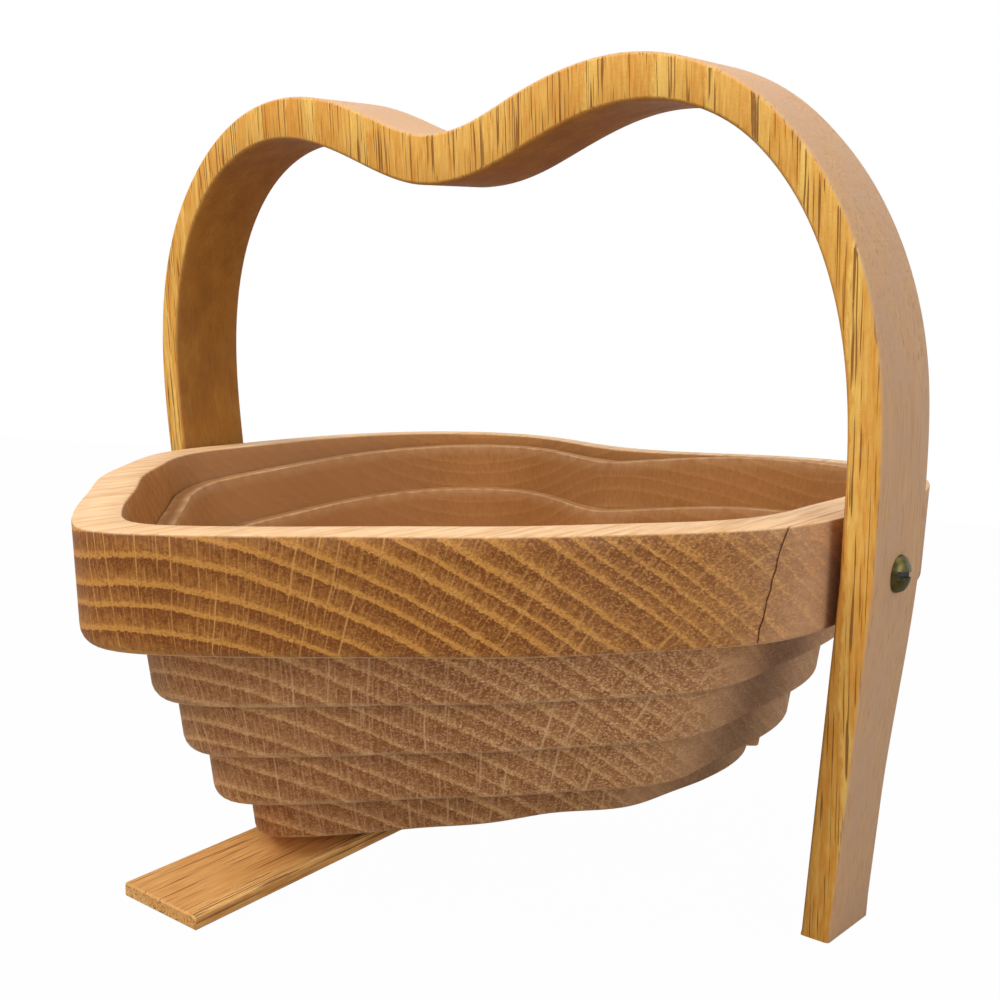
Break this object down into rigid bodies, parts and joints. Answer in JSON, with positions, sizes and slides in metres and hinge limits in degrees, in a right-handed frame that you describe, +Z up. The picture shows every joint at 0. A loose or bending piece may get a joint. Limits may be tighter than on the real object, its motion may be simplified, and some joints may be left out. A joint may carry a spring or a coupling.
{
  "type": "collapsible wooden basket",
  "caption": "Heart-shaped oak basket cut from one board by a spiral saw cut, dropped open in steps, with a folding band handle on two screws and a swivelling slat foot.",
  "frame": {"origin": "on the floor, under the middle of the footprint", "axes": "+Z up, +X to the basket's right across the two pivots, -Y towards the heart's tip, where the slat foot reaches out"},
  "size_m": [0.2442, 0.226, 0.204],
  "materials": {
    "handle_oak": "satin oiled oak, long grain with dark pores",
    "bowl_oak": "satin oiled oak, end and side grain, fine saw texture",
    "foot_oak": "satin oiled oak, long grain",
    "aged_brass": "dull aged brass"
  },
  "bodies": {
    "rim": {"basket_rim": "bowl_oak", "pivot_screw_left": "aged_brass", "pivot_screw_right": "aged_brass"},
    "handle": {"handle_frame": "handle_oak"},
    "turn_1": {"spiral_turn_1": "bowl_oak"},
    "turn_2": {"spiral_turn_2": "bowl_oak"},
    "turn_3": {"spiral_turn_3": "bowl_oak"},
    "base": {"basket_base": "bowl_oak", "foot_screw": "aged_brass", "foot_washer": "aged_brass"},
    "foot": {"swivel_foot": "foot_oak"}
  },
  "joints": [
    {"name": "handle_fold", "type": "hinge", "parent": "rim", "child": "handle", "pos_m": [0, 0.00935, 0.08751], "axis": [-1, 0, 0], "range_deg": [0, 94]},
    {"name": "turn_1_lift", "type": "slide", "parent": "rim", "child": "turn_1", "axis": [0, -0.125, 0.9922], "range_m": [0, 0.0153]},
    {"name": "turn_2_lift", "type": "slide", "parent": "turn_1", "child": "turn_2", "axis": [0, -0.125, 0.9922], "range_m": [0, 0.0137]},
    {"name": "turn_3_lift", "type": "slide", "parent": "turn_2", "child": "turn_3", "axis": [0, -0.125, 0.9922], "range_m": [0, 0.0137]},
    {"name": "base_lift", "type": "slide", "parent": "turn_3", "child": "base", "axis": [0, -0.125, 0.9922], "range_m": [0, 0.0116]},
    {"name": "foot_swivel", "type": "hinge", "parent": "base", "child": "foot", "pos_m": [0, 0.00586, 0.0152], "axis": [0, -0.125, 0.9922], "continuous": true}
  ],
  "couplings": [
    {"joint": "turn_1_lift", "follows": "base_lift", "ratio": 1.319},
    {"joint": "turn_2_lift", "follows": "base_lift", "ratio": 1.181},
    {"joint": "turn_3_lift", "follows": "base_lift", "ratio": 1.181}
  ]
}
